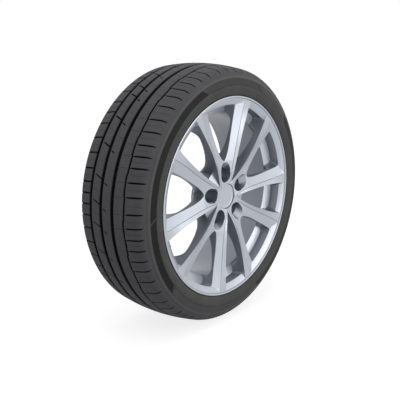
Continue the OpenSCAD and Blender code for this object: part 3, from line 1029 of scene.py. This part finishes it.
@dataclass
class AlloyWheel:
    """The casting: barrel, five pairs of spokes and hub."""

    phase: float = 24.72
    pairs: int = 5
    ring_in_r: float = 236.2
    ring_in_h: float = 99.2
    flange_r: float = 258.8
    lip_h: float = 110.8
    ledge_in_r: float = 212.2
    ledge_in_h: float = 65.6
    ledge_out_h: float = 73.0
    hub_r: float = 82.0
    hub_h: float = 94.8
    pad_r: float = 79.0
    mount_h: float = 42.0
    crotch_r: float = 95.6
    face_h: float = 95.8
    spoke_from: float = 34.0
    spoke_to: float = 240.0
    crease_x: tuple[float, ...] = (20.0, 26.2, 71.6, 86.9)
    ridge_x: tuple[float, ...] = (23.8, 40.8, 74.2, 119.3)
    tip_h: float = 108.2
    groove_half: float = 0.7
    back_line: tuple[Pair, ...] = (
        (30.0, 44.0), (76.0, 46.0), (88.0, 54.0), (100.0, 65.0), (116.0, 74.0), (138.0, 81.2),
        (162.0, 85.9), (180.0, 88.2), (196.0, 88.8), (202.0, 86.0), (208.0, 80.0), (213.0, 73.0),
        (218.0, 64.0), (224.0, 52.0), (260.0, 50.0),
    )
    crease_h: tuple[float, ...] = (97.1, 103.9, 99.5, 108.4)
    ridge_h: tuple[float, ...] = (96.3, 111.9, 106.0, 108.4)
    bore_r: float = 28.55
    bolt_circle: float = 112.0
    cap_r: float = 33.0
    steps: int = 256
    round_steps: int = 128
    sharp: float = 30.0
    bolt_r: float = 7.25
    seat_r: float = 13.2
    pocket_r: float = 19.0
    hollow_r: float = 12.0
    rise_from: float = 165.0
    front_fillet: float = 4.0
    waist_fillet: float = 5.0
    back_fillet: float = 25.0

    def ring_section(self) -> Section:
        """Draws the ring and the barrel, from the window's edge round both flanges.

        Returns:
            The closed section.
        """
        lip, flange = self.lip_h, self.flange_r
        outer = corners_at(
            (self.ring_in_r, self.ring_in_h, 0.9, 3), (241.5, 102.8), (246.5, 105.4),
            (251.2, 107.4, 0.8, 2), (252.3, 107.2, 0.6, 2), (254.4, lip - 0.5, 0.8, 2),
            (256.2, lip, 1.2, 3), (flange, lip - 0.8, 2.2, 4), (flange, 104.0, 1.2, 3),
            (254.6, 101.7, 2.5, 3), (247.0, 101.0, 2.0, 2),
        )
        seat = corners_at(
            (240.4, 92.0), (239.5, 81.0), (240.6, 78.5, 1.2, 2),
            (240.6, 76.5, 1.2, 2), (238.9, 73.5, 2.0, 2),
        )
        well = corners_at(
            (238.9, 55.4, 3.0, 3), (222.5, 47.3, 6.0, 4), (222.5, 5.4, 9.0, 4),
            (236.5, -14.6, 9.0, 4),
        )
        inside = corners_at(
            (245.2, -104.9, 2.5, 3), (230.6, -98.6, 2.0, 3), (223.0, -62.0, 2.0, 2),
            (self.ledge_in_r + 0.6, 20.0), (self.ledge_in_r, self.ledge_in_h, 1.2, 4),
            (self.ring_in_r, self.ledge_out_h, 1.6, 4),
        )
        inboard = [Corner(c.u, -c.v, c.radius, c.steps) for c in reversed(seat)]
        inboard += corners_at(
            (240.9, -101.6, 5.5, 5), (254.6, -101.7, 2.5, 3), (flange, -104.0, 1.2, 3),
            (flange, -107.6, 2.2, 4), (254.0, -108.4, 1.5, 3),
        )
        return rounded(outer + seat + well + inboard + inside)

    def hub_section(self) -> Section:
        """Gives the hub's closed section."""
        return rounded(corners_at(
            (0.0, self.mount_h), (self.pad_r, self.mount_h, 1.5, 3),
            (self.hub_r, self.hub_h - 14.0), (self.hub_r, self.hub_h - 9.2, 2.5, 4),
            (self.hub_r - 3.0, self.hub_h - 8.0), (41.0, self.hub_h), (0.0, self.hub_h),
        ))

    def along(self, y: float) -> float:
        """Gives how far a place is along a spoke, 0 near the cap and 1 at the rim."""
        return (y - self.spoke_from) / (self.spoke_to - self.spoke_from)

    def bolt_x(self, y: float) -> float:
        """Gives the half width of the window inside a pair."""
        t = max(0.0, y - self.crotch_r)
        return 3.02 * math.sqrt(t) + 0.159 * t

    def angle_at(self, radius: float, edge: Callable[[float], float]) -> tuple[float, float]:
        """Finds an edge at a radius.

        Args:
            radius: Distance from the axle.
            edge: The edge's sideways place for a distance along the pair's middle line.

        Returns:
            Its angle from the middle line in radians, and the distance along that line.
        """
        y = solve(lambda v: math.hypot(edge(v), v) - radius, 0.3 * radius, radius)
        return math.atan2(edge(y), y), y

    def back_h(self, radius: float) -> float:
        """Gives the height of a spoke's back, thinnest near the rim and deep at both its ends."""
        for (start, low), (end, high) in zip(self.back_line, self.back_line[1:]):
            if radius <= end:
                return low + (high - low) * (radius - start) / (end - start)
        return self.back_line[-1][1]

    def fillet(self, edge: Callable[[float], float], size: float, side: float) -> Callable[[float], float]:
        """Lets an edge run into the outboard ring with a fillet.

        Args:
            edge: The edge's angle for a radius, in radians.
            size: Radius of the fillet.
            side: +1 where the window lies at larger angles, -1 where it lies at smaller ones.

        Returns:
            The edge with its fillet, as an angle for a radius.
        """
        ring = self.ring_in_r + 0.2
        centre = ring - size

        def spread(radius: float) -> float:
            """Gives half the angle that the fillet's circle spans at a radius."""
            cosine = (radius**2 + centre**2 - size**2) / (2 * radius * centre)
            return math.acos(min(1.0, max(-1.0, cosine)))

        radii = [centre + size * k / 200 for k in range(1, 201)]
        touch = max(radii, key=lambda r: side * edge(r) + spread(r))
        middle = side * edge(touch) + spread(touch)

        def rounded_edge(radius: float) -> float:
            """Gives the edge's angle up to the touching point, and the fillet's after it."""
            if radius <= touch:
                return edge(radius)
            return side * (middle - spread(min(radius, ring)))

        return rounded_edge

    def spoke_section(self, radius: float, edges: dict[str, Callable[[float], float]]) -> list[Vector]:
        """Gives a spoke's rounded section on a cylinder round the axle.

        Args:
            radius: The cylinder's radius.
            edges: The angles of the spoke's filleted edges for a radius.

        Returns:
            World points of the section, for a pair on the +X axis.
        """
        crease, crease_y = self.angle_at(radius, lambda y: cubic(self.crease_x, self.along(y)))
        ridge, ridge_y = self.angle_at(radius, lambda y: cubic(self.ridge_x, self.along(y)))
        crease_h = min(cubic(self.crease_h, self.along(crease_y)), self.tip_h)
        ridge_h = min(cubic(self.ridge_h, self.along(ridge_y)), self.tip_h)
        facets = [Corner(radius * crease, crease_h), Corner(radius * ridge, ridge_h, 0.9, 3)]
        places = {name: radius * edge(radius) for name, edge in edges.items()}
        outline = self.bar_outline(radius, places, facets)
        return [on_wheel(radius, math.degrees(u / radius), v) for u, v in rounded(outline)]

    def bar_outline(self, radius: float, places: dict[str, float], facets: list[Corner]) -> list[Corner]:
        """Gives a spoke's full section, from its back at the bolt side over its facets.

        Args:
            radius: Distance from the axle.
            places: Sideways places of the spoke's edges.
            facets: The crease and the ridge of its front.

        Returns:
            The corners of the section.
        """
        inner = radius < self.crotch_r
        rise = min(1.0, max(0.0, (radius - self.rise_from) / (self.ring_in_r - self.rise_from)))
        top = self.face_h + (self.ring_in_h - 0.3 - self.face_h) * rise**2
        if inner:
            top = self.hub_h + (self.face_h - self.hub_h) * radius / self.crotch_r
        back = self.back_h(radius)
        start = -0.6 if inner else places["bolt_top"]
        foot = -0.6 if inner else max(-0.6, places["bolt_back"])
        crease, ridge = facets
        climb = (crease.v - top) / (crease.u - places["bolt"])
        fall = (ridge.v - crease.v) / (ridge.u - crease.u)
        gap = self.groove_half
        waist = min(self.ring_in_h - 1.0, ridge.v - 4.0)
        return [
            Corner(foot, back, 3.0, 4, 3), Corner(start, top, 2.0, 4),
            Corner(places["bolt"] + 5.0, top + 5.0 * climb), Corner(crease.u - gap, crease.v - gap * climb),
            Corner(crease.u, crease.v - 1.3 * gap), Corner(crease.u + gap, crease.v + gap * fall), ridge,
            Corner(places["ridge_waist"], waist, extra=3), Corner(places["ridge_back"], back, 3.5, 4, 6),
        ]

    def room(self) -> bpy.types.Object:
        """Makes the space that the spokes may fill: inside the barrel, and just under the ring's front."""
        return Bench.lathe("room", [
            (0.0, 43.0), (237.6, 43.0), (237.6, 98.4), (242.0, 101.9), (246.5, 104.5), (251.8, 106.9),
            (252.6, 107.2), (252.6, 114.0), (0.0, 114.0),
        ], self.steps)

    def spokes(self) -> list[bpy.types.Object]:
        """Lofts a spoke, mirrors it into a pair and copies the pair round the wheel.

        Returns:
            The pairs.
        """

        def bolt(radius: float) -> float:
            """Gives the angle of the edge at the bolt side."""
            return 0.0 if radius <= self.crotch_r else self.angle_at(radius, self.bolt_x)[0]

        def ridge(radius: float) -> float:
            """Gives the angle of the ridge."""
            return self.angle_at(radius, lambda y: cubic(self.ridge_x, self.along(y)))[0]

        edges = {
            "bolt": bolt,
            "bolt_top": self.fillet(bolt, self.front_fillet, -1.0),
            "bolt_back": self.fillet(lambda r: bolt(r) - 2.0 / r, self.back_fillet, -1.0),
            "ridge_waist": self.fillet(lambda r: ridge(r) + 1.5 / r, self.waist_fillet, 1.0),
            "ridge_back": self.fillet(lambda r: ridge(r) + 4.2 / r, self.back_fillet, 1.0),
        }
        # Stations stand close together where the window starts and where the fillets run out.
        radii = [31, 36, 42, 50, 60, 70, 80, 87, 92, 95.5, 95.8, 96.3, 97.2, 98.8, 101, 104, 108, 113, 120]
        radii += [128 + 8 * i for i in range(10)]
        radii += [204, 208, 212, 216, 219.5, 222.5, 225, 227.2, 229, 230.6, 232, 233.2, 234.2, 235, 235.6]
        radii += [236, 236.4, 237.4, 238.5, 240, 242, 244, 246, 248, 250, 252, 254.5]
        spoke = Bench.loft("spoke_pair", [self.spoke_section(radius, edges) for radius in radii])
        Bench.mirror(spoke)
        Bench.combine(spoke, self.room(), Cut.KEEP)
        pairs = [Bench.turned(spoke, self.phase + i * 360.0 / self.pairs) for i in range(self.pairs)]
        bpy.data.objects.remove(spoke)
        return pairs

    def drill(self, body: bpy.types.Object) -> None:
        """Cuts the cap's recess and bore, the five bolt pockets and the hollows between them.

        Args:
            body: The casting.
        """
        bore = Bench.lathe("bore", rounded(corners_at(
            (0.0, 40.0), (self.bore_r + 3.0, 40.0), (self.bore_r + 3.0, self.mount_h),
            (self.bore_r, 45.0), (self.bore_r, 58.0), (29.85, 60.0), (29.85, 91.0),
            (self.cap_r, 91.0), (self.cap_r, 110.0), (0.0, 110.0),
        )), self.round_steps)
        Bench.combine(body, bore, Cut.REMOVE)
        for i in range(self.pairs):
            angle = self.phase + i * 360.0 / self.pairs
            for cutter in self.bolt_cutters(angle):
                Bench.combine(body, cutter, Cut.REMOVE)

    def bolt_cutters(self, angle: float) -> list[bpy.types.Object]:
        """Makes the solids that cut one bolt's hole, seat, pocket and relief, and one hollow beside it.

        Args:
            angle: Where the bolt is.

        Returns:
            The five solids.
        """
        circle = self.bolt_circle / 2
        return [
            self.drum(self.bolt_r, 40.0, 60.0, circle, angle),
            self.drum(self.bolt_r, 51.5, 58.2, circle, angle, top=self.seat_r),
            self.drum(self.pocket_r, 58.0, 112.0, circle + 1.0, angle),
            self.drum(self.pocket_r, 85.0, 125.0, circle - 3.0, angle, lean=45.0),
            self.drum(self.hollow_r, 40.0, 70.0, circle + 2.0, angle + 180.0 / self.pairs),
        ]

    def drum(self, radius: float, low: float, high: float, reach: float, turn: float,
             top: float = 0.0, lean: float = 0.0) -> bpy.types.Object:
        """Makes a drum or a cone beside the axle.

        Args:
            radius: Radius at its low end.
            low: Height of its low end.
            high: Height of its high end, before it leans.
            reach: Distance of its low end from the axle.
            turn: Angle at which it stands, in degrees.
            top: Radius at its high end, if that differs.
            lean: Degrees that it leans away from the axle.

        Returns:
            The solid.
        """
        Bench.clear()
        bpy.ops.mesh.primitive_cone_add(
            vertices=64, radius1=radius * MM, radius2=(top or radius) * MM, depth=(high - low) * MM,
            location=(0, 0, (high - low) / 2 * MM),
        )
        bpy.ops.object.transform_apply(location=True, rotation=True, scale=True)
        piece = bpy.context.object
        piece.data.transform(Matrix.Rotation(math.radians(lean), 4, "Y"))
        piece.data.transform(Matrix.Translation((reach * MM, 0, low * MM)))
        piece.data.transform(Matrix.Rotation(math.radians(90), 4, "X"))
        piece.data.transform(Matrix.Rotation(-math.radians(turn), 4, "Y"))
        return piece

    def build(self, paint: bpy.types.Material) -> bpy.types.Object:
        """Makes the casting and dresses it.

        Args:
            paint: Its material.

        Returns:
            The finished wheel.
        """
        body = Bench.lathe("wheel_casting", self.ring_section(), self.steps)
        for pair in self.spokes():
            Bench.combine(body, pair, Cut.JOIN)
        Bench.combine(body, Bench.lathe("hub", self.hub_section(), self.round_steps), Cut.JOIN)
        self.drill(body)
        return Bench.dress(body, self.sharp, paint)


@dataclass
class CentreCap:
    """The plastic cap in the hub's recess."""

    radius: float = 32.35
    face_h: float = 94.0
    back_h: float = 91.0
    clip_r: float = 29.5
    clip_in_r: float = 27.2
    clip_h: float = 79.0
    steps: int = 128
    sharp: float = 30.0

    def build(self, paint: bpy.types.Material) -> bpy.types.Object:
        """Turns the disc with its skirt and dresses it.

        Args:
            paint: Its material.

        Returns:
            The finished cap.
        """
        cap = Bench.lathe("cap_disc", rounded(corners_at(
            (0.0, self.face_h - 0.7), (26.0, self.face_h - 0.5, 3.0, 3),
            (27.5, self.face_h, 0.8, 3), (self.radius, self.face_h, 1.1, 5),
            (self.radius, self.back_h), (self.clip_r, self.back_h),
            (self.clip_r, self.clip_h), (self.clip_in_r, self.clip_h),
            (self.clip_in_r, self.back_h), (0.0, self.back_h),
        )), self.steps)
        return Bench.dress(cap, self.sharp, paint)


@dataclass
class Studio:
    """Camera, pale floor and soft light."""

    azimuth: float = -50.566
    elevation: float = 14.029
    right_mm: float = 5.431
    up_mm: float = -24.253
    distance_mm: float = 2014.1
    lens: float = 68.208
    floor_z: float = -0.3353
    floor_glow: float = 0.79
    floor_tone: float = 0.55
    floor_mirrored: float = 0.64
    sky_light: float = 0.38
    sky_mirrored: float = 1.0
    lamp_watts: float = 15.0

    def axes(self) -> tuple[Vector, Vector, Vector]:
        """Gives the camera's right, up and backward directions."""
        a, e = math.radians(self.azimuth), math.radians(self.elevation)
        back = Vector((math.sin(a) * math.cos(e), -math.cos(a) * math.cos(e), math.sin(e)))
        right = Vector((math.cos(a), math.sin(a), 0.0))
        return right, back.cross(right), back

    def camera(self) -> None:
        """Puts the camera where the photograph was taken from."""
        right, up, back = self.axes()
        data = bpy.data.cameras.new("camera")
        data.lens, data.sensor_width = self.lens, 36.0
        data.clip_start, data.clip_end = 0.05, 50.0
        camera = bpy.data.objects.new("camera", data)
        camera.location = (right * self.right_mm + up * self.up_mm + back * self.distance_mm) * MM
        camera.rotation_euler = Matrix((right, up, back)).transposed().to_euler()
        bpy.context.scene.collection.objects.link(camera)
        bpy.context.scene.camera = camera

    def floor(self) -> None:
        """Lays a white floor that keeps a soft shadow."""
        Bench.clear()
        bpy.ops.mesh.primitive_plane_add(size=24.0, location=(0, 0, self.floor_z))
        floor = bpy.context.object
        floor.name = "studio_floor"
        finish = Finish("white_floor")
        path = finish.node("ShaderNodeLightPath", {}, {}).outputs
        mirrored = Value(finish, path["Is Glossy Ray"]) * self.floor_mirrored
        seen = Value(finish, path["Is Camera Ray"]).math("MAXIMUM", mirrored)
        glow = finish.blend(seen, (0.0, 0.0, 0.0), (self.floor_glow,) * 3)
        finish.set(
            Base_Color=(*(self.floor_tone,) * 3, 1.0), Roughness=0.9, Specular_IOR_Level=0.1,
            Emission_Color=glow, Emission_Strength=1.0,
        )
        floor.data.materials.append(finish.material)

    def world(self, light: float, mirrored: float) -> None:
        """Surrounds the set with even light.

        Args:
            light: Strength at which it lights the set.
            mirrored: Strength at which a glossy surface mirrors it; the camera sees it as white.
        """
        world = bpy.data.worlds.new("studio")
        world.use_nodes = True
        tree = world.node_tree
        tree.nodes.clear()
        path, out = tree.nodes.new("ShaderNodeLightPath"), tree.nodes.new("ShaderNodeOutputWorld")
        last = None
        for strength, ray in ((light, None), (mirrored, "Is Glossy Ray"), (1.0, "Is Camera Ray")):
            shade = tree.nodes.new("ShaderNodeBackground")
            shade.inputs[0].default_value, shade.inputs[1].default_value = (1.0, 1.0, 1.0, 1.0), strength
            if ray:
                mix = tree.nodes.new("ShaderNodeMixShader")
                tree.links.new(path.outputs[ray], mix.inputs[0])
                tree.links.new(last, mix.inputs[1])
                tree.links.new(shade.outputs[0], mix.inputs[2])
                shade = mix
            last = shade.outputs[0]
        tree.links.new(last, out.inputs[0])
        bpy.context.scene.world = world

    def softbox(self, name: str, place: Vector, size: Pair, watts: float) -> None:
        """Hangs an area light that looks at the wheel's centre.

        Args:
            name: Its name.
            place: Where it hangs.
            size: Its width and length.
            watts: Its power.
        """
        data = bpy.data.lights.new(name, "AREA")
        data.shape, data.size, data.size_y, data.energy = "RECTANGLE", size[0], size[1], watts
        lamp = bpy.data.objects.new(name, data)
        lamp.location = place
        lamp.rotation_euler = (-place).to_track_quat("-Z", "Y").to_euler()
        bpy.context.scene.collection.objects.link(lamp)

    def build(self) -> None:
        """Sets up the whole studio."""
        self.camera()
        self.floor()
        self.world(self.sky_light, self.sky_mirrored)
        self.softbox("front_box", Vector((0.9, -2.6, 0.5)), (1.6, 1.6), self.lamp_watts)
        self.softbox("top_box", Vector((-0.6, -0.4, 2.6)), (2.2, 2.2), self.lamp_watts)
        view = bpy.context.scene.view_settings
        view.view_transform = "Standard"


def hand_over(piece: bpy.types.Object, slot: str, *nodes: str) -> None:
    """Lets a finished piece stand for its CAD nodes.

    Args:
        piece: The piece.
        slot: Not used.
        nodes: The CAD nodes that it replaces.
    """
    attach(piece, "root")
    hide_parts(*nodes)
    LOG.info("%s: %d faces", piece.name, len(piece.data.polygons))


def main() -> None:
    """Builds the studio and the wheel, and dresses the small valve parts."""
    logging.basicConfig(level=logging.INFO, format="%(message)s")
    Studio().build()
    paint = SilverPaint().make()
    hand_over(AlloyWheel().build(paint), "wheel", "alloy_wheel")
    hand_over(CentreCap().build(paint), "cap", "centre_cap")
    hand_over(Tyre().build(), "tyre", "tyre")
    finishes = {
        "valve_stem": Plain("valve_rubber", (0.02, 0.02, 0.021), 0.0, 0.55),
        "valve_core": Plain("valve_brass", (0.55, 0.42, 0.18), 1.0, 0.35),
        "valve_cap": Plain("valve_plastic", (0.015, 0.015, 0.016), 0.0, 0.4),
    }
    for node, finish in finishes.items():
        material = finish.make()
        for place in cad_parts[node].material_slots:
            place.material = material


if __name__ == "__main__":
    main()
